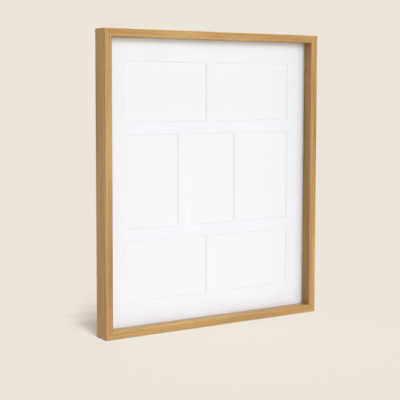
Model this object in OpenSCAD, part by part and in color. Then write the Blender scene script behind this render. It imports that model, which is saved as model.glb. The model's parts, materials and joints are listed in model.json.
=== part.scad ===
// Collage photo frame: a mitred oak box frame, a pane of glass on its lip and a mat with seven windows.
// Two landscape windows stand above and below a row of three portrait ones, each over a blank print.
// The frame stands on its bottom edge. The front faces -Y, Z is up, and the origin is the middle of
// the bottom face, halfway between the front and the back of the moulding.

/* [Moulding] */
// Width over the outer faces
frame_w = 388; // [370:1:460]
// Height over the outer faces
frame_h = 455; // [430:1:560]
// Depth of the moulding from front to back
rail_d = 30; // [28:0.5:45]
// Width of the moulding's front face
rail_w = 12; // [11.5:0.5:16]
// Depth of the lip in front of the glass
lip_d = 18; // [8:0.5:19]
// Width of the rebate behind the lip
rebate_w = 4; // [3:0.1:4.4]
// Radius on the moulding's front edges
arris_r = 0.8; // [0.3:0.1:1.5]

/* [Glass and back] */
// Thickness of the glass
glass_t = 2; // [1.5:0.1:3]
// Thickness of the backing board
backing_t = 3; // [2:0.1:4]
// How far the backing board lies inside the back of the moulding
backing_inset = 0.3; // [0.2:0.1:1]
// Gap between the sheets and the rebate on each side
sheet_gap = 0.8; // [0.3:0.1:0.9]
// Air between two sheets of the stack
sheet_air = 0.1; // [0.05:0.01:0.2]

/* [Mat and prints] */
// Thickness of the mat board
mat_t = 1.5; // [1:0.1:2]
// Short side of a print
print_short = 102; // [88:0.5:114]
// Long side of a print
print_long = 152; // [127:0.5:170]
// Thickness of a print
print_t = 0.25; // [0.2:0.01:0.4]
// How far the mat covers a print along each of its long sides
cover_long_side = 7; // [4:0.1:9]
// How far the mat covers a print along each of its short sides
cover_short_side = 6.5; // [4:0.1:9]
// Gap between two portrait prints
column_gap = 1.5; // [0.5:0.1:3]
// Gap between two landscape prints
pair_gap = 4; // [0.5:0.1:8]
// Gap between two rows of prints
row_gap = 7.5; // [1:0.1:12]
// How much higher than the middle of the frame the block of windows sits
block_rise = 1.5; // [0:0.1:6]

/* [Corner nails] */
// Length of each leg of a V-nail
vnail_leg = 5; // [4:0.1:7]
// Thickness of a V-nail
vnail_t = 0.6; // [0.4:0.05:0.9]
// Height of a V-nail
vnail_h = 10; // [6:0.5:11]
// How far a V-nail is driven below the back of the moulding
vnail_sunk = 0.2; // [0.1:0.1:0.6]
// Gap between a V-nail and the wood
vnail_gap = 0.05; // [0.02:0.01:0.1]

/* [Turn buttons] */
// Distance of the buttons from the frame's outer corners
button_corner = 95; // [60:1:150]
// Width of a button
button_w = 7.6; // [6.5:0.1:8]
// Reach of a button from its screw to its tip
button_reach = 20; // [16:0.5:26]
// Thickness of a button
button_t = 1; // [0.8:0.1:1.5]
// Radius of the button screws' shank
screw_r = 1.45; // [1.2:0.05:1.6]
// Length of the button screws under the button
screw_l = 12; // [9:0.5:16]
// Radius of the screw heads
screw_head_r = 2.8; // [2.5:0.1:3.2]
// Height of the screw heads
screw_head_h = 1.8; // [1.4:0.1:2.2]
// Clearance round the shank and under the head
screw_play = 0.05; // [0.02:0.01:0.1]

/* [Hangers] */
// Distance between the two hangers' centre lines
hanger_pitch = 240; // [160:1:280]
// Height of the hanger eyes below the top of the frame
hanger_drop = 110; // [80:1:180]
// Width of a hanger's strap
strap_w = 10; // [8:0.5:12]
// Thickness of a hanger's strap
strap_t = 0.8; // [0.6:0.05:1.2]
// Diameter of a ring's wire
ring_wire = 2; // [1.6:0.1:2.4]
// Radius of a ring's bow, to the middle of the wire
ring_bow_r = 7.5; // [7.2:0.1:9]
// Length of a ring's straight sides
ring_side = 4; // [3:0.5:6]
// Air between a hanging ring and its strap
ring_lift = 0.3; // [0.3:0.05:0.6]
// Clearance round the ring in its eye
eye_play = 0.05; // [0.02:0.01:0.1]
// Distance between a strap's two rivets
rivet_pitch = 10; // [8:0.5:14]
// Radius of the rivets' shank
rivet_r = 1.6; // [1.2:0.1:2]
// Radius of the rivets' heads
rivet_head_r = 3; // [2.6:0.1:3.6]
// Height of the rivets' heads
rivet_head_h = 1; // [0.8:0.1:1.4]
// Height of the rivets' closed ends inside the frame
rivet_tail_h = 0.8; // [0.6:0.1:1.2]
// Air round the rivets' closed ends in the filler card
rivet_relief = 0.8; // [0.4:0.1:1.5]

/* [Wall bumpers] */
// Radius of a bumper
bumper_r = 3.6; // [3:0.1:4]
// Height of a bumper
bumper_h = 3.5; // [2:0.1:5]
// Radius on a bumper's edge
bumper_edge_r = 0.8; // [0.3:0.1:1.2]
// Distance of the bumpers' middles from the sides of the frame
bumper_side = 19; // [14:1:40]

/* [Hidden] */
$fn = 48;
past = 1; // how far a cut runs past the face that it opens

// Planes of the stack, measured along Y
front_y = -rail_d / 2;
back_y = rail_d / 2;
glass_y = front_y + lip_d;
mat_y = glass_y + glass_t + sheet_air;
print_y = mat_y + mat_t + sheet_air;
filler_y = print_y + print_t + sheet_air;
backing_y = back_y - backing_inset - backing_t;
filler_t = backing_y - sheet_air - filler_y;
board_y = backing_y + backing_t;

// Moulding and sheets
wall_w = rail_w - rebate_w;
wall_mid = wall_w / 2;
sheet_w = frame_w - 2 * (wall_w + sheet_gap);
sheet_h = frame_h - 2 * (wall_w + sheet_gap);
frame_mid_z = frame_h / 2;

// Windows, each centred on its print
window_short = print_short - 2 * cover_long_side;
window_long = print_long - 2 * cover_short_side;
column_x = print_short + column_gap;
pair_x = (print_long + pair_gap) / 2;
row_z = (print_short + print_long) / 2 + row_gap;
middle_z = frame_mid_z + block_rise;

// Middle of each window and print: x, z, and whether it is landscape
WINDOWS = [
    [-pair_x, middle_z + row_z, true],
    [pair_x, middle_z + row_z, true],
    [-column_x, middle_z, false],
    [0, middle_z, false],
    [column_x, middle_z, false],
    [-pair_x, middle_z - row_z, true],
    [pair_x, middle_z - row_z, true]
];

// Turn buttons: x and z of the screw, and the turn about Y that points the button at the middle
button_x = frame_w / 2 - button_corner;
button_side_x = frame_w / 2 - wall_mid;
BUTTONS = [
    [-button_x, wall_mid, 0],
    [button_x, wall_mid, 0],
    [-button_side_x, button_corner, 90],
    [-button_side_x, frame_h - button_corner, 90],
    [-button_x, frame_h - wall_mid, 180],
    [button_x, frame_h - wall_mid, 180],
    [button_side_x, button_corner, -90],
    [button_side_x, frame_h - button_corner, -90]
];
screw_recess_w = 0.8;
screw_recess_l = 3;
screw_recess_d = 1.1;

// Hangers
hanger_x = hanger_pitch / 2;
eye_z = frame_h - hanger_drop;
eye_r = ring_wire / 2 + eye_play;
eye_outer_r = eye_r + strap_t;
eye_y = board_y + strap_t + ring_lift + ring_wire / 2;
ring_reach = ring_side + ring_bow_r + ring_wire / 2;
rivet_z = ring_reach + rivet_head_r + 1.5;
strap_l = rivet_z + rivet_pitch;
rivet_tail_r = rivet_r + 0.8;
rivet_play = 0.05;
bumper_x = frame_w / 2 - bumper_side;
bumper_z = max(wall_mid, bumper_r);

oak = "burlywood";
steel = "silver";

// Cross-section of the moulding: depth along X, distance from the outer face along Y
module moulding_section() {
    difference() {
        union() {
            translate([arris_r, 0]) square([rail_d - arris_r, rail_w]);
            translate([0, arris_r]) square([2 * arris_r, rail_w - 2 * arris_r]);
            for (y = [arris_r, rail_w - arris_r]) translate([arris_r, y]) circle(arris_r);
        }
        translate([lip_d, wall_w]) square([rail_d - lip_d + past, rebate_w + past]);
    }
}

// One length of moulding along X, its outer face down, mitred at both ends
module mitred_length(length) {
    intersection() {
        rotate([90, 0, 90]) linear_extrude(length) moulding_section();
        translate([0, rail_d, 0]) rotate([90, 0, 0]) linear_extrude(rail_d)
            polygon([[0, 0], [length, 0], [length - rail_w, rail_w], [rail_w, rail_w]]);
    }
}

// What is cut from every length: the V-nails' slots and the button screws' holes
module moulding_cuts() {
    v_nails(vnail_gap, past + vnail_sunk);
    for (spot = BUTTONS) at_button(spot)
        translate([0, -screw_l - screw_play, 0])
            rotate([-90, 0, 0]) cylinder(r = screw_r + screw_play, h = screw_l + past);
}

module bottom_length() {
    translate([-frame_w / 2, front_y, 0]) mitred_length(frame_w);
}

module side_length() {
    translate([frame_w / 2, front_y, 0]) rotate([0, -90, 0]) mitred_length(frame_h);
}

module left_stile() {
    color(oak) difference() {
        mirror([1, 0, 0]) side_length();
        moulding_cuts();
    }
}

module right_stile() {
    color(oak) difference() {
        side_length();
        moulding_cuts();
    }
}

module top_rail() {
    color(oak) difference() {
        translate([0, 0, frame_h]) mirror([0, 0, 1]) bottom_length();
        moulding_cuts();
    }
}

module bottom_rail() {
    color(oak) difference() {
        bottom_length();
        moulding_cuts();
    }
}

// One V-nail's outline in the corner of the frame, grown by gap on every side
module v_nail_outline(gap) {
    corner = wall_mid - vnail_t / 2;
    translate([corner - gap, corner - gap]) {
        square([vnail_leg + 2 * gap, vnail_t + 2 * gap]);
        square([vnail_t + 2 * gap, vnail_leg + 2 * gap]);
    }
}

// The four V-nails, grown by gap and lengthened at the back by extra
module v_nails(gap, extra) {
    for (side = [0, 1], end = [0, 1]) mirror([side, 0, 0])
        translate([0, 0, end * frame_h]) mirror([0, 0, end])
            translate([-frame_w / 2, back_y - vnail_sunk + extra, 0]) rotate([90, 0, 0])
                linear_extrude(vnail_h + gap + extra) v_nail_outline(gap);
}

module corner_v_nails() {
    color(steel) v_nails(0, 0);
}

// A sheet that fills the rebate, from y back by thickness
module sheet(y, thickness) {
    translate([-sheet_w / 2, y, frame_mid_z - sheet_h / 2]) cube([sheet_w, thickness, sheet_h]);
}

module glazing() {
    color("lightcyan", 0.4) sheet(glass_y, glass_t);
}

// Profile of a window across its bevel: half is half of the clear opening at the back of the mat
module bevel_profile(half) {
    front = half + mat_t + past;
    polygon([[-front, -past], [front, -past], [half, mat_t], [half, mat_t + past],
             [-half, mat_t + past], [-half, mat_t]]);
}

// The hole for a window, with all four sides bevelled at 45 degrees
module window_hole(spot) {
    half_x = (spot[2] ? window_long : window_short) / 2;
    half_z = (spot[2] ? window_short : window_long) / 2;
    reach = window_long;
    translate([spot[0], mat_y, spot[1]]) intersection() {
        translate([0, 0, -reach]) linear_extrude(2 * reach) bevel_profile(half_x);
        translate([-reach, 0, 0]) rotate([0, 90, 0]) linear_extrude(2 * reach)
            bevel_profile(half_z);
    }
}

module window_mat() {
    color("white") difference() {
        sheet(mat_y, mat_t);
        for (spot = WINDOWS) window_hole(spot);
    }
}

module print_at(spot) {
    size_x = spot[2] ? print_long : print_short;
    size_z = spot[2] ? print_short : print_long;
    color("whitesmoke") translate([spot[0] - size_x / 2, print_y, spot[1] - size_z / 2])
        cube([size_x, print_t, size_z]);
}

module print_top_left() { print_at(WINDOWS[0]); }
module print_top_right() { print_at(WINDOWS[1]); }
module print_middle_left() { print_at(WINDOWS[2]); }
module print_middle_centre() { print_at(WINDOWS[3]); }
module print_middle_right() { print_at(WINDOWS[4]); }
module print_bottom_left() { print_at(WINDOWS[5]); }
module print_bottom_right() { print_at(WINDOWS[6]); }

// Children are drawn at each rivet, with Y out of the back of the board
module at_rivets() {
    for (side = [-1, 1], z = [rivet_z, rivet_z + rivet_pitch])
        translate([side * hanger_x, board_y, eye_z - z]) rotate([-90, 0, 0]) children();
}

module filler_card() {
    relief_d = rivet_tail_h + rivet_relief;
    color("peru") difference() {
        sheet(filler_y, filler_t);
        at_rivets() translate([0, 0, -backing_t - sheet_air - relief_d])
            cylinder(r = rivet_tail_r + rivet_relief, h = relief_d + past);
    }
}

module backing_board() {
    color("tan") difference() {
        sheet(backing_y, backing_t);
        at_rivets() translate([0, 0, -backing_t - past])
            cylinder(r = rivet_r + rivet_play, h = backing_t + 2 * past);
    }
}

// Places children at a button's screw, on the back of the moulding, pointing at the middle along Z
module at_button(spot) {
    translate([spot[0], back_y, spot[1]]) rotate([0, spot[2], 0]) children();
}

// A flat steel strip with round ends, its hole on the Y axis and its tip along Z
module turn_button(spot) {
    tip = button_reach - button_w / 2;
    color(steel) at_button(spot) translate([0, button_t, 0]) rotate([90, 0, 0])
        linear_extrude(button_t) difference() {
            union() {
                circle(button_w / 2);
                translate([-button_w / 2, 0]) square([button_w, tip]);
                translate([0, tip]) circle(button_w / 2);
            }
            circle(screw_r + screw_play);
        }
}

module turn_button_bottom_left() { turn_button(BUTTONS[0]); }
module turn_button_bottom_right() { turn_button(BUTTONS[1]); }
module turn_button_left_lower() { turn_button(BUTTONS[2]); }
module turn_button_left_upper() { turn_button(BUTTONS[3]); }
module turn_button_top_left() { turn_button(BUTTONS[4]); }
module turn_button_top_right() { turn_button(BUTTONS[5]); }
module turn_button_right_lower() { turn_button(BUTTONS[6]); }
module turn_button_right_upper() { turn_button(BUTTONS[7]); }

// A domed head along Z, from its flat underside
module domed_head(radius, height) {
    cylinder(r = radius, h = height / 2);
    translate([0, 0, height / 2]) cylinder(r1 = radius, r2 = radius * 0.7, h = height / 2);
}

// A cross-head screw along Z, its shank from the origin down
module button_screw() {
    head_z = button_t + screw_play;
    difference() {
        union() {
            translate([0, 0, -screw_l]) cylinder(r = screw_r, h = screw_l + head_z + past / 2);
            translate([0, 0, head_z]) domed_head(screw_head_r, screw_head_h);
        }
        for (turn = [0, 90]) rotate([0, 0, turn])
            translate([-screw_recess_l / 2, -screw_recess_w / 2, head_z + screw_head_h - screw_recess_d])
                cube([screw_recess_l, screw_recess_w, screw_recess_d + past]);
    }
}

module button_screws() {
    color("gainsboro") for (spot = BUTTONS) at_button(spot) rotate([-90, 0, 0]) button_screw();
}

// Strap with its rolled eye at the top, on the back of the board
module hanger_plate(side) {
    color(steel) translate([side * hanger_x, board_y, eye_z]) difference() {
        union() {
            translate([-strap_w / 2, 0, -strap_l]) cube([strap_w, strap_t, strap_l]);
            translate([0, strap_t, -strap_l]) rotate([90, 0, 0]) cylinder(r = strap_w / 2, h = strap_t);
            translate([-strap_w / 2, eye_y - board_y, 0]) rotate([0, 90, 0])
                cylinder(r = eye_outer_r, h = strap_w);
        }
        translate([-strap_w, eye_y - board_y, 0]) rotate([0, 90, 0])
            cylinder(r = eye_r, h = 2 * strap_w);
        for (z = [rivet_z, rivet_z + rivet_pitch]) translate([0, -past, -z]) rotate([-90, 0, 0])
            cylinder(r = rivet_r + rivet_play, h = strap_t + 2 * past);
    }
}

module hanger_plate_left() { hanger_plate(-1); }
module hanger_plate_right() { hanger_plate(1); }

// D-ring hanging down from the eye: a straight bar, two sides and a round bow
module hanger_ring(side) {
    wire_r = ring_wire / 2;
    color("gainsboro") translate([side * hanger_x, eye_y, eye_z]) {
        translate([-ring_bow_r, 0, 0]) rotate([0, 90, 0]) cylinder(r = wire_r, h = 2 * ring_bow_r);
        for (x = [-ring_bow_r, ring_bow_r]) {
            translate([x, 0, 0]) sphere(wire_r);
            translate([x, 0, -ring_side]) cylinder(r = wire_r, h = ring_side);
        }
        translate([0, 0, -ring_side]) rotate([90, 0, 0]) rotate([0, 0, 180])
            rotate_extrude(angle = 180) translate([ring_bow_r, 0]) circle(wire_r);
    }
}

module hanger_ring_left() { hanger_ring(-1); }
module hanger_ring_right() { hanger_ring(1); }

module hanger_rivets() {
    color("gainsboro") at_rivets() {
        translate([0, 0, -backing_t]) cylinder(r = rivet_r, h = backing_t + strap_t + rivet_head_h / 2);
        translate([0, 0, strap_t]) domed_head(rivet_head_r, rivet_head_h);
        translate([0, 0, -backing_t - rivet_tail_h]) cylinder(r = rivet_tail_r, h = rivet_tail_h);
    }
}

// A round pad stuck on the back of the bottom rail, with a rounded edge
module wall_bumper(side) {
    color("dimgray") translate([side * bumper_x, back_y, bumper_z]) rotate([-90, 0, 0])
        rotate_extrude() {
            square([bumper_r, bumper_h - bumper_edge_r]);
            square([bumper_r - bumper_edge_r, bumper_h]);
            intersection() {
                translate([bumper_r - bumper_edge_r, bumper_h - bumper_edge_r]) circle(bumper_edge_r);
                square([bumper_r, bumper_h]);
            }
        }
}

module wall_bumper_left() { wall_bumper(-1); }
module wall_bumper_right() { wall_bumper(1); }

left_stile();
right_stile();
top_rail();
bottom_rail();
glazing();
window_mat();
print_top_left();
print_top_right();
print_middle_left();
print_middle_centre();
print_middle_right();
print_bottom_left();
print_bottom_right();
filler_card();
backing_board();
corner_v_nails();
turn_button_bottom_left();
turn_button_bottom_right();
turn_button_left_lower();
turn_button_left_upper();
turn_button_top_left();
turn_button_top_right();
turn_button_right_lower();
turn_button_right_upper();
button_screws();
hanger_plate_left();
hanger_plate_right();
hanger_ring_left();
hanger_ring_right();
hanger_rivets();
wall_bumper_left();
wall_bumper_right();
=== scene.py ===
"""Dresses the collage photo frame: oak moulding, glass, window mat, blank prints, back and hangers.

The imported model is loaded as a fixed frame. Each sub-assembly is a class that takes its places from that
frame, builds finer meshes there and gives them their finishes. Lengths are written in millimetres, and a
piece is scaled to metres when it is settled in the frame.
"""

import json
import logging
import math
from dataclasses import dataclass
from enum import Enum
from typing import Any, Iterable, Sequence

import bmesh
import bpy
from bmesh.types import BMesh, BMVert
from bpy.types import Material, Mesh, Node, NodeSocket, NodeTree, Object
from mathutils import Matrix, Vector


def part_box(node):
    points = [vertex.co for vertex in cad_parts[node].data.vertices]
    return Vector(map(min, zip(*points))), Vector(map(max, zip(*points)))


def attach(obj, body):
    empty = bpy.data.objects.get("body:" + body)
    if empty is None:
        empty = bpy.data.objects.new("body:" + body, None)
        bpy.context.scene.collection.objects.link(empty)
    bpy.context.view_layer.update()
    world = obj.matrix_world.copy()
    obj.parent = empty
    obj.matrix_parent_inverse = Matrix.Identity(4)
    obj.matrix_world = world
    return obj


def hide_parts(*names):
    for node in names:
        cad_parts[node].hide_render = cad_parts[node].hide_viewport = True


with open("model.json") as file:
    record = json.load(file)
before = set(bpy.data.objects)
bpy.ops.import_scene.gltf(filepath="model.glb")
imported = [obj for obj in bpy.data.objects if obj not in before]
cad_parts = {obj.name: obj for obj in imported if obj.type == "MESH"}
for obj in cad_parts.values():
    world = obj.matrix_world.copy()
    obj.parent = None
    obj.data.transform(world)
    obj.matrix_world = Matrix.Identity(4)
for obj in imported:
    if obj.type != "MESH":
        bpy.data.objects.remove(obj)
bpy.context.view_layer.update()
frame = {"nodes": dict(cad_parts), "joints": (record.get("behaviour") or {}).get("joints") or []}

log = logging.getLogger("collage_frame")

MM = 0.001  # one millimetre in Blender's metres
TOUCHING = 1e-4  # points nearer than this, in millimetres, are one
OVERRUN = 1.0  # how far a cutter stands out of the face that it cuts, in millimetres
DIAGONAL_BAND = 0.628  # along an axis, how far apart a diagonal wave's bands are at a scale of 1
EASED_ABOVE = math.radians(35)  # edges that turn by more are rounded
SHARP_ABOVE = math.radians(50)  # edges that turn by more are shaded as sharp
Outline = list[tuple[float, float]]


def linear(code: str) -> tuple[float, float, float, float]:
    """Turns an sRGB hex colour into linear RGBA.

    Args:
        code: The colour, such as "#c49a66".

    Returns:
        The linear colour with an alpha of 1.
    """
    channels = [int(code[i:i + 2], 16) / 255 for i in (1, 3, 5)]
    return (*(c / 12.92 if c <= 0.04045 else ((c + 0.055) / 1.055) ** 2.4 for c in channels), 1.0)


def feed(tree: NodeTree, node: Node, inputs: dict[str | int, Any]) -> None:
    """Sets or links the inputs of a node.

    Args:
        tree: The tree that holds the node.
        node: The node.
        inputs: Input names or indices, each with a value, a socket, a node or a list of them. A node
            stands for its first output.
    """
    for key, value in inputs.items():
        by_name = isinstance(key, str)
        socket = next(s for s in node.inputs if s.enabled and s.name == key) if by_name else node.inputs[key]
        for item in value if isinstance(value, list) else [value]:
            if isinstance(item, Node):
                item = next(s for s in item.outputs if s.enabled)
            if isinstance(item, NodeSocket):
                tree.links.new(item, socket)
            else:
                socket.default_value = item


def add(tree: NodeTree, kind: str, inputs: dict[str | int, Any] | None = None, **settings: Any) -> Node:
    """Adds a node with its settings and links.

    Args:
        tree: The tree that gets the node.
        kind: The node's type.
        inputs: What its inputs get, as in feed().
        settings: The node's own properties.

    Returns:
        The new node.
    """
    node = tree.nodes.new(kind)
    for name, value in settings.items():
        setattr(node, name, value)
    feed(tree, node, inputs or {})
    return node


def surface(name: str, **constants: Any) -> tuple[Material, Node]:
    """Starts a material with a Principled shader.

    Args:
        name: The material's name.
        constants: Values of the shader's own sockets, with underscores for the spaces in their names.

    Returns:
        The material and its shader node.
    """
    material = bpy.data.materials.new(name)
    material.use_nodes = True
    tree = material.node_tree
    tree.nodes.clear()
    values = {key.replace("_", " "): value for key, value in constants.items()}
    shader = add(tree, "ShaderNodeBsdfPrincipled", values)
    add(tree, "ShaderNodeOutputMaterial", {"Surface": shader})
    return material, shader


class GrainAxis(Enum):
    """Which way a board's grain runs, as the turn about Y that brings it to X."""

    ALONG_X = 0.0
    ALONG_Z = math.pi / 2


@dataclass(frozen=True)
class LacqueredOak:
    """Solid oak, planed and sprayed with a clear satin lacquer.

    The eye sees warm straight grain, with yellower and browner streaks, short dark pores and a soft sheen.
    Sizes are across the grain. A stretch is a mark's width as a share of its length along the grain.
    """

    pale: str = "#c9a373"
    middle: str = "#b89265"
    dark: str = "#9c7646"
    tone_spots: tuple[float, float, float] = (0.38, 0.49, 0.62)
    pore: str = "#886039"
    yellow: str = "#fffbdc"
    brown: str = "#f3e9c6"
    # Painted shade: the tint that makes the sides and inner walls redder and a little darker than the front
    side_shade: str = "#fff4ee"
    ring_mm: float = 3.2
    ring_share: float = 0.08
    streak_mm: float = 5.0
    streak_share: float = 0.68
    streak_stretch: float = 0.022
    # Real fibres are far under 0.1 mm wide and real pores about 0.3 mm, too fine to show, so both are
    # drawn coarser
    fibre_mm: float = 0.5
    fibre_share: float = 0.24
    fibre_stretch: float = 0.04
    pore_mm: float = 1.1
    pore_strength: float = 0.55
    pore_sink: float = -0.8
    patch_mm: float = 22.0
    patch_stretch: float = 0.12
    # Painted shade behind the front: the depths over which it comes in, and how much of it the rails get
    side_shade_mm: tuple[float, float] = (1.5, 6.0)
    side_shade_on_rails: float = 0.15
    relief_mm: float = 0.12
    lacquer: float = 0.3
    lacquer_roughness: float = 0.28
    lacquer_ior: float = 1.5

    def build(self, board: str, axis: GrainAxis, shift_mm: tuple[float, float, float],
              front_mm: float) -> Material:
        """Makes the finish of one board.

        Args:
            board: The board's name.
            axis: Which way its grain runs.
            shift_mm: Where in the log the board was cut, so that no two boards are alike.
            front_mm: Where the board's front is along Y. Behind it the wood gets a redder, darker painted
                shade.

        Returns:
            The board's material.
        """
        material, shader = surface(
            f"{board}, oak under satin lacquer", Specular_IOR_Level=0.3, Coat_Weight=self.lacquer,
            Coat_Roughness=self.lacquer_roughness, Coat_IOR=self.lacquer_ior)
        tree = material.node_tree
        place = add(tree, "ShaderNodeTexCoord").outputs["Object"]
        in_log = add(tree, "ShaderNodeMapping", {
            "Vector": place, "Rotation": (0, axis.value, 0), "Location": tuple(s * MM for s in shift_mm)})
        long, short, broad = [
            add(tree, "ShaderNodeVectorMath", {0: in_log, 1: (stretch, 1, 1)}, operation="MULTIPLY")
            for stretch in (self.streak_stretch, self.fibre_stretch, self.patch_stretch)]
        # The growth rings cross the board at a slant, so their bands are diagonal
        rings = add(tree, "ShaderNodeTexWave", {
            "Vector": long, "Scale": DIAGONAL_BAND / (self.ring_mm * MM), "Distortion": 5.0,
            "Detail": 2.0, "Detail Scale": 0.7, "Detail Roughness": 0.6}, bands_direction="DIAGONAL")
        streaks = add(tree, "ShaderNodeTexNoise", {
            "Vector": long, "Scale": 1 / (self.streak_mm * MM), "Detail": 4.0, "Roughness": 0.62})
        fibres = add(tree, "ShaderNodeTexNoise", {
            "Vector": short, "Scale": 1 / (self.fibre_mm * MM), "Detail": 2.0})
        cells = add(tree, "ShaderNodeTexVoronoi", {"Vector": short, "Scale": 1 / (self.pore_mm * MM)})
        pores = add(tree, "ShaderNodeMapRange", {
            "Value": cells, "From Min": 0.1, "From Max": 0.26, "To Min": 1.0, "To Max": 0.0})
        patches = add(tree, "ShaderNodeTexNoise", {
            "Vector": broad, "Scale": 1 / (self.patch_mm * MM), "Detail": 2.0})
        grain = add(tree, "ShaderNodeMath", {0: rings.outputs["Fac"], 1: self.ring_share},
                    operation="MULTIPLY")
        for marks, share in ((streaks, self.streak_share), (fibres, self.fibre_share)):
            grain = add(tree, "ShaderNodeMath", {0: marks, 1: share, 2: grain}, operation="MULTIPLY_ADD")
        wood = add(tree, "ShaderNodeValToRGB", {"Fac": grain})
        first, between, last = self.tone_spots
        wood.color_ramp.elements[0].position = first
        wood.color_ramp.elements[1].position = last
        wood.color_ramp.elements.new(between)
        for element, tone in zip(wood.color_ramp.elements, (self.dark, self.middle, self.pale)):
            element.color = linear(tone)
        brownness = add(tree, "ShaderNodeMapRange", {"Value": patches, "From Min": 0.35, "From Max": 0.65})
        tint = add(tree, "ShaderNodeMix", {
            "Factor": brownness, "A": linear(self.yellow), "B": linear(self.brown)}, data_type="RGBA")
        tinted = add(tree, "ShaderNodeMix", {"Factor": 1.0, "A": wood, "B": tint},
                     data_type="RGBA", blend_type="MULTIPLY")
        # Painted shade: behind the front, on the sides and inner walls, the wood is made redder and a little
        # darker, fully on the stiles and less on the rails
        depth = add(tree, "ShaderNodeSeparateXYZ", {0: place}).outputs["Y"]
        near, deep = ((front_mm + d) * MM for d in self.side_shade_mm)
        most = 1.0 if axis is GrainAxis.ALONG_Z else self.side_shade_on_rails
        nearness = add(tree, "ShaderNodeMapRange", {
            "Value": depth, "From Min": near, "From Max": deep, "To Max": most})
        side_shaded = add(tree, "ShaderNodeMix", {"Factor": nearness, "A": tinted, "B": linear(self.side_shade)},
                        data_type="RGBA", blend_type="MULTIPLY")
        darkening = add(tree, "ShaderNodeMath", {0: pores, 1: self.pore_strength}, operation="MULTIPLY")
        colour = add(tree, "ShaderNodeMix", {
            "Factor": darkening, "A": side_shaded, "B": linear(self.pore)}, data_type="RGBA")
        gloss = add(tree, "ShaderNodeMapRange", {"Value": grain, "To Min": 0.52, "To Max": 0.38})
        relief = add(tree, "ShaderNodeMath", {0: pores, 1: self.pore_sink, 2: grain},
                     operation="MULTIPLY_ADD")
        bump = add(tree, "ShaderNodeBump", {
            "Strength": 0.35, "Distance": self.relief_mm * MM, "Height": relief})
        feed(tree, shader, {"Base Color": colour, "Roughness": gloss, "Normal": bump})
        return material


@dataclass(frozen=True)
class GrainedSurface:
    """A surface with one mottled colour and a fine tooth, as paper, board, rubber and plated steel have.

    Two hex colours mix in soft patches, and the tooth is a bump. Both have their sizes in millimetres. A
    stretch below 1 draws them out along its axis.
    """

    name: str
    first: str
    second: str
    patch_mm: float
    tooth_mm: float
    tooth_depth_mm: float
    roughness: tuple[float, float]
    metallic: float = 0.0
    specular: float = 0.5
    stretch: tuple[float, float, float] = (1.0, 1.0, 1.0)

    def build(self) -> Material:
        """Makes the finish.

        Returns:
            The material.
        """
        material, shader = surface(self.name, Metallic=self.metallic, Specular_IOR_Level=self.specular)
        tree = material.node_tree
        place = add(tree, "ShaderNodeTexCoord").outputs["Object"]
        drawn = add(tree, "ShaderNodeMapping", {"Vector": place, "Scale": self.stretch})
        patches = add(tree, "ShaderNodeTexNoise", {
            "Vector": drawn, "Scale": 1 / (self.patch_mm * MM), "Detail": 3.0})
        tooth = add(tree, "ShaderNodeTexNoise", {
            "Vector": drawn, "Scale": 1 / (self.tooth_mm * MM), "Detail": 3.0, "Roughness": 0.6})
        share = add(tree, "ShaderNodeMapRange", {"Value": patches, "From Min": 0.35, "From Max": 0.65})
        colour = add(tree, "ShaderNodeMix", {
            "Factor": share, "A": linear(self.first), "B": linear(self.second)}, data_type="RGBA")
        gloss = add(tree, "ShaderNodeMapRange", {
            "Value": tooth, "From Min": 0.3, "From Max": 0.7,
            "To Min": self.roughness[0], "To Max": self.roughness[1]})
        bump = add(tree, "ShaderNodeBump", {
            "Strength": 0.5, "Distance": self.tooth_depth_mm * MM, "Height": tooth})
        feed(tree, shader, {"Base Color": colour, "Roughness": gloss, "Normal": bump})
        return material


# The real tooth of paper, board, steel and rubber is too fine to show, so each is drawn coarser, a few
# tenths of a millimetre across

# Cotton-faced mat board, rolled smooth: an even, slightly cool white with no shine
MAT_FACE = GrainedSurface("Mat board face, smooth white paper", "#f7f6ff", "#f5f4fd", 40, 0.35, 0.02,
                          (0.82, 0.92), specular=0.3)
# The mat's cut core: knife-cut fibres, painted a little greyer than the face, a painted shade that darkens
# the bevelled window edges
MAT_CORE = GrainedSurface("Mat board core, knife-cut", "#f5f4fa", "#efeef4", 3, 0.25, 0.04,
                          (0.9, 0.98), specular=0.2)
# Blank photo paper: resin-coated, a touch smoother and more neutral than the mat
BLANK_PAPER = GrainedSurface("Blank photo paper, satin", "#f7f5fb", "#f6f4fa", 60, 0.6, 0.01,
                             (0.5, 0.62), specular=0.35)
# Kraft liner of corrugated card: raw brown paper, softly mottled and rough to the touch
KRAFT = GrainedSurface("Kraft corrugated card, raw", "#b48d62", "#a67e53", 5, 0.7, 0.05,
                       (0.85, 0.95), specular=0.2)
# Hardboard, pressed smooth and left raw: tan, mottled with darker fibre bundles
HARDBOARD = GrainedSurface("Hardboard, pressed and raw", "#b48a5f", "#a87d52", 1.6, 0.5, 0.05,
                           (0.55, 0.75), specular=0.35, stretch=(0.5, 1.0, 1.0))
# Zinc-plated sheet steel, rolled and stamped: pale grey with faint drawn lines and a dull shine
ZINC = GrainedSurface("Zinc-plated steel, stamped", "#c3c6ca", "#b3b7bd", 4, 0.3, 0.012,
                      (0.3, 0.44), metallic=1.0, stretch=(1.0, 1.0, 0.3))
# Nickel-plated steel wire and heads: brighter and warmer than the zinc, with tight highlights
NICKEL = GrainedSurface("Nickel-plated steel, bright", "#d5cfc4", "#cbc4b8", 3, 0.2, 0.006,
                        (0.14, 0.24), metallic=1.0)
# Moulded rubber bumper: dark grey and matt, with the fine texture of the mould
RUBBER = GrainedSurface("Moulded rubber, matt grey", "#46474a", "#3c3d40", 2, 0.25, 0.02,
                        (0.7, 0.85), specular=0.3)


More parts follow.
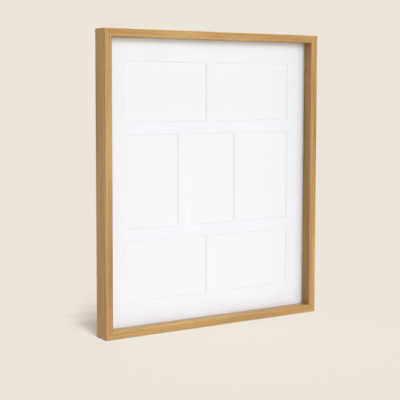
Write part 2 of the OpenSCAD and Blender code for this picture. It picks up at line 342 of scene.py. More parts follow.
@dataclass(frozen=True)
class FloatGlass:
    """Clear float glass, cut and seamed: almost colourless, with a faint reflection.

    Light that meets it at a flat angle is mostly turned away, so the mat throws little light on the wood
    right beside it.
    """

    tint: str = "#fefffe"
    ior: float = 1.5
    # How fast the light that gets through falls off as it meets the glass more flatly
    turning_away: float = 5.0

    def build(self) -> Material:
        """Makes the glass, which lets lamp light and bounced light through to the mat.

        Returns:
            The material.
        """
        material, shader = surface("Float glass, clear", Base_Color=linear(self.tint), Roughness=0.0,
                                   IOR=self.ior, Transmission_Weight=1.0)
        tree = material.node_tree
        rays = add(tree, "ShaderNodeLightPath").outputs
        passing = add(tree, "ShaderNodeMath", {0: rays["Is Shadow Ray"], 1: rays["Is Diffuse Ray"]},
                      operation="MAXIMUM")
        slant = add(tree, "ShaderNodeLayerWeight", {"Blend": 0.5}).outputs["Facing"]
        lost = add(tree, "ShaderNodeMath", {0: slant, 1: self.turning_away}, operation="POWER")
        kept = add(tree, "ShaderNodeMix", {
            "Factor": lost, "A": linear(self.tint), "B": linear("#000000")}, data_type="RGBA")
        clear = add(tree, "ShaderNodeBsdfTransparent", {"Color": kept})
        mixed = add(tree, "ShaderNodeMixShader", {0: passing, 1: shader, 2: clear})
        output = next(node for node in tree.nodes if node.type == "OUTPUT_MATERIAL")
        feed(tree, output, {"Surface": mixed})
        return material


def plain(piece: Object) -> Object:
    """Turns what a piece's modifiers make into its own mesh and removes them.

    Args:
        piece: The object, whose modifiers are all kept as mesh.

    Returns:
        The same object.
    """
    depsgraph = bpy.context.evaluated_depsgraph_get()
    mesh = bpy.data.meshes.new_from_object(piece.evaluated_get(depsgraph), depsgraph=depsgraph)
    old = piece.data
    piece.modifiers.clear()
    piece.data = mesh
    bpy.data.meshes.remove(old)
    return piece


def link_mesh(name: str, mesh: Mesh, *finishes: Material) -> Object:
    """Makes an object of a mesh and puts it in the scene.

    Args:
        name: The object's name.
        mesh: Its mesh.
        finishes: The materials of its slots, in order.

    Returns:
        The object.
    """
    piece = bpy.data.objects.new(name, mesh)
    bpy.context.scene.collection.objects.link(piece)
    for finish in finishes:
        mesh.materials.append(finish)
    return piece


def to_mesh(bm: BMesh, name: str) -> Mesh:
    """Turns a bmesh into a mesh whose faces point outwards.

    Args:
        bm: The bmesh, which is freed.
        name: The mesh's name.

    Returns:
        The mesh.
    """
    bmesh.ops.remove_doubles(bm, verts=bm.verts, dist=TOUCHING)
    bmesh.ops.recalc_face_normals(bm, faces=bm.faces)
    mesh = bpy.data.meshes.new(name)
    bm.to_mesh(mesh)
    bm.free()
    return mesh


def settle(piece: Object, place: Matrix, ease_mm: float = 0.0, steps: int = 2, clamp: bool = True) -> Object:
    """Moves a piece's mesh to its place, scales it to metres and eases its sharp edges.

    Args:
        piece: The object, built in millimetres.
        place: The turn and the place in the frame, in millimetres.
        ease_mm: Width of the small rounding on every sharp edge, or 0 for none.
        steps: Faces across that rounding.
        clamp: Whether the rounding is held back where edges lie close together.

    Returns:
        The same object.
    """
    piece.data.transform(Matrix.Scale(MM, 4) @ place)
    piece.data.shade_smooth()
    if ease_mm:
        ease = piece.modifiers.new("Eased edges", "BEVEL")
        ease.width = ease_mm * MM
        ease.segments = steps
        ease.limit_method = "ANGLE"
        ease.angle_limit = EASED_ABOVE
        ease.use_clamp_overlap = clamp
    flats = piece.modifiers.new("Flat faces stay flat", "WEIGHTED_NORMAL")
    flats.keep_sharp = True
    piece.data.set_sharp_from_angle(angle=SHARP_ABOVE)
    return plain(piece)


def carve(piece: Object, cutter: Mesh, operation: str = "DIFFERENCE") -> Object:
    """Cuts one mesh out of a piece, or joins it on.

    Args:
        piece: The object that is cut.
        cutter: The mesh to cut out, in the same place, which is removed afterwards.
        operation: DIFFERENCE to cut, UNION to join.

    Returns:
        The same object.
    """
    tool = link_mesh("cutter", cutter)
    cut = piece.modifiers.new("Cut", "BOOLEAN")
    cut.operation = operation
    cut.solver = "EXACT"
    cut.object = tool
    plain(piece)
    bpy.data.objects.remove(tool)
    bpy.data.meshes.remove(cutter)
    return piece


def hand_over(piece: Object, body: str, slot: str, *nodes: str) -> None:
    """Puts a finished piece on its body and hides the CAD nodes that it stands for.

    Args:
        piece: The finished object.
        body: The body that it rides on.
        slot: The record's material slot. It is not used.
        nodes: The CAD nodes that it replaces.
    """
    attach(piece, body)
    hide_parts(*nodes)
    log.info("%s: %d faces on %s, for %s", piece.name, len(piece.data.polygons), body, ", ".join(nodes))


def box_mm(node: str) -> tuple[Vector, Vector]:
    """Gives a CAD node's lowest and highest corner in millimetres."""
    low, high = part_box(node)
    return low / MM, high / MM


def turned_to(x_axis: Sequence[float], y_axis: Sequence[float], origin: Sequence[float]) -> Matrix:
    """Makes a rigid placement from two axes.

    Args:
        x_axis: Where the piece's own X points, as a unit vector.
        y_axis: Where its own Y points.
        origin: Where its origin goes, in millimetres.

    Returns:
        The placement.
    """
    x, y = Vector(x_axis), Vector(y_axis)
    turn = Matrix((x, y, x.cross(y))).transposed().to_4x4()
    return Matrix.Translation(Vector(origin)) @ turn


def facing_front(origin: Sequence[float]) -> Matrix:
    """Places a piece drawn in XY upright, its own Z towards the front."""
    return turned_to((1, 0, 0), (0, 0, 1), origin)


def facing_back(origin: Sequence[float]) -> Matrix:
    """Places a piece drawn in XY upright, its own Z out of the back."""
    return turned_to((-1, 0, 0), (0, 0, 1), origin)


def rectangle(low: Sequence[float], high: Sequence[float], grow: float = 0.0) -> Outline:
    """Gives a rectangle's corners, anticlockwise.

    Args:
        low: Its lowest corner.
        high: Its highest corner.
        grow: How far each side moves outwards.

    Returns:
        The four corners.
    """
    x0, y0, x1, y1 = low[0] - grow, low[1] - grow, high[0] + grow, high[1] + grow
    return [(x0, y0), (x1, y0), (x1, y1), (x0, y1)]


def arc(centre: Sequence[float], radius: float, start: float, end: float, steps: int) -> Outline:
    """Gives the points of an arc.

    Args:
        centre: The arc's centre.
        radius: Its radius.
        start: Its first angle, in degrees.
        end: Its last angle, in degrees.
        steps: How many chords it has.

    Returns:
        The points, both ends included.
    """
    angles = [math.radians(start + (end - start) * i / steps) for i in range(steps + 1)]
    return [(centre[0] + radius * math.cos(a), centre[1] + radius * math.sin(a)) for a in angles]


def pierced_sheet(name: str, outline: Outline, holes: Iterable[tuple[Outline, Outline]], thickness: float,
                  wall_slot: int = 0) -> Mesh:
    """Makes a flat sheet from Z 0 up, with holes that may be bevelled.

    Args:
        name: The mesh's name.
        outline: The sheet's outline.
        holes: For each hole its outline at the bottom and at the top.
        thickness: The sheet's thickness.
        wall_slot: The material slot of the holes' walls. The rest has slot 0.

    Returns:
        The mesh.
    """
    bm = bmesh.new()
    pairs = [(outline, outline), *holes]
    walls = []
    for level, height in enumerate((0.0, thickness)):
        edges = []
        for index, pair in enumerate(pairs):
            ring = [bm.verts.new((x, y, height)) for x, y in pair[level]]
            edges += [bm.edges.new((a, b)) for a, b in zip(ring, ring[1:] + ring[:1])]
            walls.append((index, ring))
        bmesh.ops.triangle_fill(bm, edges=edges, use_beauty=True)
    for (index, low), (_, high) in zip(walls[:len(pairs)], walls[len(pairs):]):
        for i, corner in enumerate(low):
            after = (i + 1) % len(low)
            face = bm.faces.new((corner, low[after], high[after], high[i]))
            face.material_index = wall_slot if index else 0
    return to_mesh(bm, name)


def turned(name: str, profile: Outline, sides: int) -> Mesh:
    """Turns a profile about Z, as on a lathe.

    Args:
        name: The mesh's name.
        profile: Radius and height of each point. The first and last lie on the axis.
        sides: How many faces go round.

    Returns:
        The closed mesh.
    """
    bm = bmesh.new()
    rings = []
    for radius, height in profile:
        if not radius:
            rings.append([bm.verts.new((0, 0, height))] * sides)
            continue
        turns = [2 * math.pi * i / sides for i in range(sides)]
        rings.append([bm.verts.new((radius * math.cos(a), radius * math.sin(a), height)) for a in turns])
    for low, high in zip(rings, rings[1:]):
        for i in range(sides):
            corners = [low[i - 1], low[i], high[i], high[i - 1]]
            bm.faces.new(list(dict.fromkeys(corners)))
    return to_mesh(bm, name)


def dome(radius: float, low: float, high: float) -> Outline:
    """Gives the profile of a domed head, from its rim to just short of its crown.

    Args:
        radius: The head's radius.
        low: The height of its rim.
        high: The height of its crown.

    Returns:
        The radius and the height of each point.
    """
    turns = [math.radians(turn) for turn in range(0, 90, 10)]
    return [(radius * math.cos(a), low + (high - low) * math.sin(a)) for a in turns]


def drill(bm: BMesh, spots: Iterable[Vector], back: float, radius: float, depth: float) -> None:
    """Adds round pins that cut holes into the back of a piece.

    Args:
        bm: The bmesh of the cutter.
        spots: Where the holes go.
        back: Where the piece's back is along Y.
        radius: The holes' radius.
        depth: How deep they go.
    """
    for spot in spots:
        middle = Vector((spot.x, back - depth / 2 + OVERRUN / 2, spot.z))
        place = Matrix.Translation(middle) @ Matrix.Rotation(math.pi / 2, 4, "X")
        bmesh.ops.create_cone(bm, cap_ends=True, segments=24, radius1=radius, radius2=radius,
                              depth=depth + OVERRUN, matrix=place)


class SizedTree:
    """A Geometry Nodes tree with named inputs for its sizes, run to make plain meshes."""

    KINDS = {float: "NodeSocketFloat", int: "NodeSocketInt", Object: "NodeSocketObject"}

    def __init__(self, name: str, sizes: dict[str, Any]) -> None:
        """Starts the tree.

        Args:
            name: The tree's name.
            sizes: Each named input with its kind, or with its usual value.
        """
        self.tree = bpy.data.node_groups.new(name, "GeometryNodeTree")
        self.usual = {key: value for key, value in sizes.items() if not isinstance(value, type)}
        sockets = self.tree.interface
        sockets.new_socket("Geometry", in_out="INPUT", socket_type="NodeSocketGeometry")
        for key, value in sizes.items():
            kind = value if isinstance(value, type) else type(value)
            sockets.new_socket(key, in_out="INPUT", socket_type=self.KINDS[kind])
        sockets.new_socket("Finish", in_out="INPUT", socket_type="NodeSocketMaterial")
        sockets.new_socket("Geometry", in_out="OUTPUT", socket_type="NodeSocketGeometry")
        self.given = add(self.tree, "NodeGroupInput").outputs
        where = add(self.tree, "GeometryNodeInputPosition")
        self.axes = add(self.tree, "ShaderNodeSeparateXYZ", {0: where}).outputs

    def thickened(self, face: Node, offset: Node) -> Node:
        """Pushes an open face along an offset and closes the solid.

        Args:
            face: The face's geometry.
            offset: How far and which way it is pushed.

        Returns:
            The closed solid.
        """
        far = add(self.tree, "GeometryNodeExtrudeMesh", {
            "Mesh": face, "Offset": offset, "Offset Scale": 1.0, "Individual": False})
        near = add(self.tree, "GeometryNodeFlipFaces", {"Mesh": face})
        both = add(self.tree, "GeometryNodeJoinGeometry", {"Geometry": [near, far]})
        return add(self.tree, "GeometryNodeMergeByDistance", {"Geometry": both, "Distance": TOUCHING})

    def finish(self, geometry: Node) -> None:
        """Ends the tree: instances are realized and get the finish.

        Args:
            geometry: What the tree has made.
        """
        real = add(self.tree, "GeometryNodeRealizeInstances", {"Geometry": geometry})
        dressed = add(self.tree, "GeometryNodeSetMaterial", {
            "Geometry": real, "Material": self.given["Finish"]})
        add(self.tree, "NodeGroupOutput", {"Geometry": dressed})

    def run(self, name: str, finish: Material | None, start: Mesh | None = None,
            **sizes: Any) -> Object:
        """Runs the tree and keeps what it makes as a plain mesh.

        Args:
            name: The object's name.
            finish: The material, or None where the piece gets it later.
            start: The mesh that the tree starts from, if it needs one.
            sizes: The named inputs, with underscores for the spaces in their names.

        Returns:
            The object, with no modifier.
        """
        piece = link_mesh(name, start or bpy.data.meshes.new(name))
        modifier = piece.modifiers.new(self.tree.name, "NODES")
        modifier.node_group = self.tree
        items = [item for item in self.tree.interface.items_tree if item.in_out == "INPUT"]
        keys = {item.name: item.identifier for item in items}
        values = self.usual | {key.replace("_", " "): value for key, value in sizes.items()}
        for key, value in (values | {"Finish": finish}).items():
            modifier[keys[key]] = value
        return plain(piece)


def mitred_length_tree() -> SizedTree:
    """Builds the tree of one length of moulding: its section pushed along Z and mitred at both ends.

    Returns:
        The tree. X is the depth from the front face, Y the distance from the outer face.
    """
    made = SizedTree("Mitred length", {
        "Length": float, "Face": float, "Depth": float, "Lip": float, "Wall": float,
        "Front arris": 0.8, "Back arris": 0.5, "Arris steps": 5})
    tree, given, axes = made.tree, made.given, made.axes
    # Round the section: how deep each corner lies, how far from the outer face, and what rounds it
    rows = [("", "", "Front arris"), ("Depth", "", "Back arris"), ("Depth", "Wall", "Back arris"),
            ("Lip", "Wall", ""), ("Lip", "Face", ""), ("", "Face", "Front arris")]
    corners = []
    for depth, inwards, _ in rows:
        named = {"X": depth, "Y": inwards}
        corners.append(add(tree, "ShaderNodeCombineXYZ", {
            axis: given[size] for axis, size in named.items() if size}))
    rounding = [given[arris] if arris else 0.0 for _, _, arris in rows]
    index = add(tree, "GeometryNodeInputIndex")
    switches = []
    for kind, values in (("VECTOR", corners), ("FLOAT", rounding)):
        switch = add(tree, "GeometryNodeIndexSwitch", data_type=kind)
        for _ in values[2:]:
            switch.index_switch_items.new()
        feed(tree, switch, {"Index": index, **dict(enumerate(values, 1))})
        switches.append(switch)
    spot, radius = switches
    points = add(tree, "GeometryNodeMeshLine", {"Count": len(corners)})
    line = add(tree, "GeometryNodeMeshToCurve", {"Mesh": points})
    bent = add(tree, "GeometryNodeSetPosition", {"Geometry": line, "Position": spot})
    closed = add(tree, "GeometryNodeSetSplineCyclic", {"Geometry": bent, "Cyclic": True})
    section = add(tree, "GeometryNodeFilletCurve", {
        "Curve": closed, "Count": given["Arris steps"], "Radius": radius}, mode="POLY")
    face = add(tree, "GeometryNodeFillCurve", {"Curve": section}, mode="NGONS")
    bar = made.thickened(face, add(tree, "ShaderNodeCombineXYZ", {"Z": given["Length"]}))
    far_end = add(tree, "ShaderNodeMath", {0: given["Length"], 1: axes["Y"]}, operation="SUBTRACT")
    along = add(tree, "ShaderNodeMapRange", {
        "Value": axes["Z"], "From Max": given["Length"], "To Min": axes["Y"], "To Max": far_end})
    mitred = add(tree, "ShaderNodeCombineXYZ", {"X": axes["X"], "Y": axes["Y"], "Z": along})
    made.finish(add(tree, "GeometryNodeSetPosition", {"Geometry": bar, "Position": mitred}))
    return made


def lying_sheet_tree() -> SizedTree:
    """Builds the tree of a sheet of paper that lies almost flat, with a slow wave in it.

    Returns:
        The tree. The sheet is centred on the origin, and its thickness runs along Z.
    """
    made = SizedTree("Lying sheet", {
        "Width": float, "Height": float, "Thickness": float, "Wave": 0.06, "Wave length": 90.0,
        "Grid points": 25, "Seed": int})
    tree, given = made.tree, made.given
    grid = add(tree, "GeometryNodeMeshGrid", {
        "Size X": given["Width"], "Size Y": given["Height"],
        "Vertices X": given["Grid points"], "Vertices Y": given["Grid points"]})
    scale = add(tree, "ShaderNodeMath", {0: 1.0, 1: given["Wave length"]}, operation="DIVIDE")
    noise = add(tree, "ShaderNodeTexNoise", {"W": given["Seed"], "Scale": scale, "Detail": 0.0},
                noise_dimensions="4D")
    centred = add(tree, "ShaderNodeMath", {0: noise, 1: 0.5}, operation="SUBTRACT")
    lift = add(tree, "ShaderNodeMath", {0: centred, 1: given["Wave"]}, operation="MULTIPLY")
    offset = add(tree, "ShaderNodeCombineXYZ", {"Z": lift})
    lying = add(tree, "GeometryNodeSetPosition", {"Geometry": grid, "Offset": offset})
    made.finish(made.thickened(lying, add(tree, "ShaderNodeCombineXYZ", {"Z": given["Thickness"]})))
    return made


def corrugated_tree() -> SizedTree:
    """Builds the tree of corrugated card: a fluted sheet between two liners, the flutes along Z.

    Returns:
        The tree. The card is centred on the origin, and its thickness runs along Y.
    """
    made = SizedTree("Corrugated card", {
        "Width": float, "Height": float, "Thickness": float, "Liner": 0.3, "Flute pitch": 6.5,
        "Points a flute": 10})
    tree, given, axes = made.tree, made.given, made.axes
    whole = add(tree, "ShaderNodeMath", {0: given["Width"], 1: given["Flute pitch"]}, operation="DIVIDE")
    flutes = add(tree, "ShaderNodeMath", {0: whole}, operation="FLOOR")
    points = add(tree, "ShaderNodeMath", {0: flutes, 1: given["Points a flute"], 2: 1.0},
                 operation="MULTIPLY_ADD")
    half, half_thick = [add(tree, "ShaderNodeMath", {0: given[size], 1: 2.0}, operation="DIVIDE")
                        for size in ("Width", "Thickness")]
    # From the middle of the card, the fluted sheet swings this far, and the liners lie this far out
    swing, out = [
        add(tree, "ShaderNodeMath", {0: given["Liner"], 1: liners, 2: half_thick}, operation="MULTIPLY_ADD")
        for liners in (-1.5, -0.5)]
    minus_half, inwards = [add(tree, "ShaderNodeMath", {0: size, 1: -1.0}, operation="MULTIPLY")
                           for size in (half, out)]
    left, right = [add(tree, "ShaderNodeCombineXYZ", {"X": size}) for size in (minus_half, half)]
    line = add(tree, "GeometryNodeCurvePrimitiveLine", {"Start": left, "End": right})
    fine = add(tree, "GeometryNodeResampleCurve", {"Curve": line, "Count": points})
    turns = add(tree, "ShaderNodeMath", {0: axes["X"], 1: half}, operation="DIVIDE")
    for factor in (flutes, math.pi):
        turns = add(tree, "ShaderNodeMath", {0: turns, 1: factor}, operation="MULTIPLY")
    height = add(tree, "ShaderNodeMath", {0: turns}, operation="COSINE")
    height = add(tree, "ShaderNodeMath", {0: height, 1: swing}, operation="MULTIPLY")
    offset = add(tree, "ShaderNodeCombineXYZ", {"Y": height})
    wave = add(tree, "GeometryNodeSetPosition", {"Geometry": fine, "Offset": offset})
    upright = add(tree, "GeometryNodeSetCurveNormal", {"Curve": wave}, mode="Z_UP")
    profile = add(tree, "GeometryNodeCurvePrimitiveQuadrilateral", {
        "Width": given["Liner"], "Height": given["Height"]}, mode="RECTANGLE")
    sheet = add(tree, "GeometryNodeCurveToMesh", {
        "Curve": upright, "Profile Curve": profile, "Fill Caps": True})
    size = add(tree, "ShaderNodeCombineXYZ", {
        "X": given["Width"], "Y": given["Liner"], "Z": given["Height"]})
    liner = add(tree, "GeometryNodeMeshCube", {"Size": size})
    sheets = [sheet]
    for distance in (out, inwards):
        shift = add(tree, "ShaderNodeCombineXYZ", {"Y": distance})
        sheets.append(add(tree, "GeometryNodeTransform", {"Geometry": liner, "Translation": shift}))
    made.finish(add(tree, "GeometryNodeJoinGeometry", {"Geometry": sheets}))
    return made


def wire_ring_tree() -> SizedTree:
    """Builds the tree of a D-ring: round wire bent to a straight bar, two sides and a bow.

    Returns:
        The tree. The bar lies along X through the origin, and the bow hangs towards -Y.
    """
    made = SizedTree("Wire D-ring", {
        "Bow radius": float, "Side": float, "Wire": float, "Bend radius": 1.8, "Bend steps": 16,
        "Wire sides": 16})
    tree, given = made.tree, made.given
    width = add(tree, "ShaderNodeMath", {0: given["Bow radius"], 1: 2.0}, operation="MULTIPLY")
    height = add(tree, "ShaderNodeMath", {0: given["Bow radius"], 1: given["Side"]}, operation="ADD")
    outline = add(tree, "GeometryNodeCurvePrimitiveQuadrilateral", {
        "Width": width, "Height": height}, mode="RECTANGLE")
    low = add(tree, "FunctionNodeCompare", {"A": made.axes["Y"], "B": 0.0}, data_type="FLOAT",
              operation="LESS_THAN")
    bend = add(tree, "GeometryNodeSwitch", {
        "Switch": low, "False": given["Bend radius"], "True": given["Bow radius"]}, input_type="FLOAT")
    bent = add(tree, "GeometryNodeFilletCurve", {
        "Curve": outline, "Count": given["Bend steps"], "Radius": bend, "Limit Radius": True}, mode="POLY")
    half = add(tree, "ShaderNodeMath", {0: given["Wire"], 1: 2.0}, operation="DIVIDE")
    wire = add(tree, "GeometryNodeCurvePrimitiveCircle", {"Radius": half, "Resolution": given["Wire sides"]})
    ring = add(tree, "GeometryNodeCurveToMesh", {"Curve": bent, "Profile Curve": wire})
    drop = add(tree, "ShaderNodeMath", {0: height, 1: -2.0}, operation="DIVIDE")
    shift = add(tree, "ShaderNodeCombineXYZ", {"Y": drop})
    hung = add(tree, "GeometryNodeTransform", {"Geometry": ring, "Translation": shift})
    made.finish(add(tree, "GeometryNodeMergeByDistance", {"Geometry": hung, "Distance": TOUCHING}))
    return made


def screw_thread_tree() -> SizedTree:
    """Builds the tree of a screw's thread: a ridge wound round its core, down from the origin.

    Returns:
        The tree.
    """
    made = SizedTree("Screw thread", {
        "Core": float, "Crest": float, "Length": float, "Pitch": 1.3, "Points a turn": 14})
    tree, given = made.tree, made.given
    turns = add(tree, "ShaderNodeMath", {0: given["Length"], 1: given["Pitch"]}, operation="DIVIDE")
    helix = add(tree, "GeometryNodeCurveSpiral", {
        "Resolution": given["Points a turn"], "Rotations": turns, "Start Radius": given["Core"],
        "End Radius": given["Core"], "Height": given["Length"]})
    rise = add(tree, "ShaderNodeMath", {0: given["Crest"], 1: given["Core"]}, operation="SUBTRACT")
    ridge = add(tree, "GeometryNodeCurvePrimitiveCircle", {"Resolution": 3, "Radius": rise})
    wound = add(tree, "GeometryNodeCurveToMesh", {
        "Curve": helix, "Profile Curve": ridge, "Fill Caps": True})
    down = add(tree, "ShaderNodeMath", {0: given["Length"], 1: -1.0}, operation="MULTIPLY")
    drop = add(tree, "ShaderNodeCombineXYZ", {"Z": down})
    made.finish(add(tree, "GeometryNodeTransform", {"Geometry": wound, "Translation": drop}))
    return made


def fastener_tree() -> SizedTree:
    """Builds the tree that puts a fastener on each point of a mesh, its own Z out of the back.

    Returns:
        The tree. A point's "turn" attribute spins its fastener, and a seeded random turn is added.
    """
    made = SizedTree("Fasteners on points", {
        "Fastener": Object, "Loose turn": 0.0, "Seed": 7})
    tree, given = made.tree, made.given
    source = add(tree, "GeometryNodeObjectInfo", {"Object": given["Fastener"]})
    turn = add(tree, "GeometryNodeInputNamedAttribute", {"Name": "turn"}, data_type="FLOAT")
    loose = add(tree, "FunctionNodeRandomValue", {
        "Max": given["Loose turn"], "Seed": given["Seed"]}, data_type="FLOAT")
    spin = add(tree, "ShaderNodeMath", {0: turn, 1: loose}, operation="ADD")
    upright = add(tree, "ShaderNodeCombineXYZ", {"X": -math.pi / 2, "Y": spin})
    made.finish(add(tree, "GeometryNodeInstanceOnPoints", {
        "Points": given["Geometry"], "Instance": source.outputs["Geometry"], "Rotation": upright}))
    return made


def set_fasteners(name: str, tree: SizedTree, fastener: Object, finish: Material,
                  spots: Iterable[tuple[Vector, float]], loose_turn: float = 0.0) -> Object:
    """Puts copies of a fastener in place and removes the one they were copied from.

    Args:
        name: The new object's name.
        tree: The tree from fastener_tree().
        fastener: The fastener, drawn with its own Z outwards.
        finish: The material.
        spots: Where each goes, in millimetres, and how far it is turned, in radians.
        loose_turn: The largest random turn added to that, in radians.

    Returns:
        One object with all the copies.
    """
    spots = list(spots)
    points = bpy.data.meshes.new(name)
    points.from_pydata([spot for spot, _ in spots], [], [])
    turns = points.attributes.new("turn", "FLOAT", "POINT")
    turns.data.foreach_set("value", [turn for _, turn in spots])
    placed = tree.run(name, finish, points, Fastener=fastener, Loose_turn=loose_turn)
    mesh = fastener.data
    bpy.data.objects.remove(fastener)
    bpy.data.meshes.remove(mesh)
    return placed


@dataclass
class Moulding:
    """The four mitred oak lengths and the V-nails that hold their corners."""

    wall: float = 8.0
    lip: float = 18.0
    nail_leg: float = 5.0
    nail_thick: float = 0.6
    nail_gap: float = 0.05
    nail_sunk: float = 0.2
    nail_height: float = 10.0
    nail_ease: float = 0.05
    nail_slant: float = 0.12
    screw_hole: float = 1.5
    screw_depth: float = 12.0
    mitre_ease: float = 0.12

    def __post_init__(self) -> None:
        """Takes the moulding's size from the CAD frame."""
        self.low, self.high = box_mm("left_stile")
        self.right = box_mm("right_stile")[1].x
        self.face = self.high.x - self.low.x
        self.depth = self.high.y - self.low.y
        self.back = self.high.y
        self.top = self.high.z

    def corners(self) -> list[tuple[Vector, float]]:
        """Finds the outer corners of the back face.

        Returns:
            Each corner, and the turn that brings +X to its two sides.
        """
        left, right = self.low.x, self.right
        spots = [(left, 0.0, 0.0), (left, self.top, 90.0), (right, self.top, 180.0), (right, 0.0, 270.0)]
        return [(Vector((x, self.back, z)), math.radians(turn)) for x, z, turn in spots]

    def nail_outline(self, grow: float) -> Outline:
        """Draws a V-nail in the corner of the frame.

        Args:
            grow: How far the outline moves outwards.

        Returns:
            The outline.
        """
        near = self.wall / 2 - self.nail_thick / 2 - grow
        thick = near + self.nail_thick + 2 * grow
        far = near + self.nail_leg + 2 * grow
        return [(near, near), (far, near), (far, thick), (thick, thick), (thick, far), (near, far)]

    def build_cutter(self, holes: Iterable[Vector]) -> Mesh:
        """Makes what is cut from every length: the V-nails' slots and the screws' holes.

        Args:
            holes: Where the button screws go.

        Returns:
            The cutter, in the frame.
        """
        bm = bmesh.new()
        outline = self.nail_outline(self.nail_gap)
        depth = self.nail_sunk + self.nail_height + self.nail_gap
        for corner, turn in self.corners():
            slot = pierced_sheet("slot", outline, [], depth + OVERRUN)
            spin = Matrix.Rotation(turn, 4, "Y")
            slot.transform(Matrix.Translation(corner) @ spin @ facing_front((0, OVERRUN, 0)))
            bm.from_mesh(slot)
            bpy.data.meshes.remove(slot)
        drill(bm, holes, self.back, self.screw_hole, self.screw_depth)
        return to_mesh(bm, "moulding cuts")

    def build(self, holes: Iterable[Vector], fasteners: SizedTree) -> None:
        """Builds and dresses the four lengths and the nails.

        Args:
            holes: Where the button screws go.
            fasteners: The tree that sets the nails.
        """
        tree = mitred_length_tree()
        oak = LacqueredOak()
        left, right, front, top = self.low.x, self.right, self.low.y, self.top
        # Each length's name and node, the corner it starts from, the way to its inner side, its grain and
        # its place in the log
        lengths = [
            ("stile_left", "left_stile", (left, front, top), (1, 0, 0), GrainAxis.ALONG_Z, (0, 35, 11)),
            ("stile_right", "right_stile", (right, front, 0), (-1, 0, 0), GrainAxis.ALONG_Z, (900, 0, 47)),
            ("rail_top", "top_rail", (right, front, top), (0, 0, -1), GrainAxis.ALONG_X, (895, 253, -346)),
            ("rail_bottom", "bottom_rail", (left, front, 0), (0, 0, 1), GrainAxis.ALONG_X, (2129, 157, 221))]
        holes = list(holes)
        for name, node, corner, inwards, axis, shift in lengths:
            low, high = box_mm(node)
            length = max(high.x - low.x, high.z - low.z)
            finish = oak.build(name.replace("_", " "), axis, shift, front)
            piece = tree.run(name, finish, Length=length, Face=self.face, Depth=self.depth,
                             Lip=self.lip, Wall=self.wall)
            piece.data.transform(turned_to((0, 1, 0), inwards, corner))
            carve(piece, self.build_cutter(holes))
            settle(piece, Matrix.Identity(4), self.mitre_ease, 2, clamp=False)
            hand_over(piece, "frame", "oak", node)
        self.build_nails(fasteners)

    def build_nails(self, fasteners: SizedTree) -> None:
        """Builds the four V-nails: thin steel angles, whose driven edge slants back from the fold.

        Args:
            fasteners: The tree that sets them.
        """
        mesh = pierced_sheet("v nail", self.nail_outline(0.0), [], self.nail_height)
        spread = self.wall / 2
        for vertex in mesh.vertices:
            if vertex.co.z < self.nail_height / 2:
                diagonal = (vertex.co.x + vertex.co.y) / 2
                lean = (vertex.co.x - vertex.co.y) / 2
                shift = max(abs(lean) - self.nail_thick, 0.0)
                vertex.co.z += self.nail_slant * shift if diagonal > spread else 0.0
        nail = link_mesh("nail", mesh)
        nail.data.transform(Matrix.Translation((0, 0, -self.nail_height)))
        sunk = Vector((0, self.nail_sunk, 0))
        # A fastener's own Y points down once its Z points out of the back, so each nail starts a quarter on
        spots = [(corner - sunk, turn - math.pi / 2) for corner, turn in self.corners()]
        placed = set_fasteners("v_nail_set", fasteners, nail, ZINC.build(), spots)
        settle(placed, Matrix.Identity(4), self.nail_ease, 1)
        hand_over(placed, "frame", "zinc_steel", "corner_v_nails")


@dataclass
class Display:
    """What is seen through the front: the glass, the mat with its seven windows and the prints."""

    glass_seam: float = 0.25
    cover_long_side: float = 7.0
    cover_short_side: float = 6.5
    paper_wave: float = 0.06
    first_seed: int = 3

    def print_nodes(self) -> list[str]:
        """Lists the CAD nodes of the seven prints."""
        return sorted(name for name in frame["nodes"] if name.startswith("print_"))

    def build(self) -> Object:
        """Builds and dresses the glass, the mat and the prints.

        Returns:
            The pane of glass.
        """
        self.build_mat()
        self.build_prints()
        return self.build_glass()

    def build_glass(self) -> Object:
        """Builds the pane, with its cut edges seamed.

        Returns:
            The pane.
        """
        low, high = box_mm("glazing")
        mesh = pierced_sheet("pane", rectangle((low.x, low.z), (high.x, high.z)), [], high.y - low.y)
        pane = link_mesh("glass_pane", mesh, FloatGlass().build())
        settle(pane, facing_front((0, high.y, 0)), self.glass_seam, 1)
        hand_over(pane, "frame", "clear_glass", "glazing")
        return pane

    def build_mat(self) -> None:
        """Builds the mat, each window centred on its print and bevelled at 45 degrees."""
        low, high = box_mm("window_mat")
        thickness = high.y - low.y
        windows = []
        for node in self.print_nodes():
            near, far = box_mm(node)
            landscape = far.x - near.x > far.z - near.z
            cover_x = self.cover_short_side if landscape else self.cover_long_side
            cover_z = self.cover_long_side if landscape else self.cover_short_side
            window_low = (near.x + cover_x, near.z + cover_z)
            window_high = (far.x - cover_x, far.z - cover_z)
            windows.append((rectangle(window_low, window_high),
                            rectangle(window_low, window_high, thickness)))
        mesh = pierced_sheet("mat", rectangle((low.x, low.z), (high.x, high.z)), windows, thickness,
                             wall_slot=1)
        board = link_mesh("mat_board", mesh, MAT_FACE.build(), MAT_CORE.build())
        settle(board, facing_front((0, high.y, 0)))
        hand_over(board, "frame", "mat_board", "window_mat")

    def build_prints(self) -> None:
        """Builds the seven blank sheets, each lying in its own way."""
        tree = lying_sheet_tree()
        paper = BLANK_PAPER.build()
        for seed, node in enumerate(self.print_nodes(), self.first_seed):
            low, high = box_mm(node)
            thickness = high.y - low.y
            sheet = tree.run(f"{node}_sheet", paper, Width=high.x - low.x, Height=high.z - low.z,
                             Thickness=thickness, Wave=self.paper_wave, Seed=seed)
            settle(sheet, facing_front(((low.x + high.x) / 2, high.y, (low.z + high.z) / 2)))
            hand_over(sheet, "frame", "blank_paper", node)


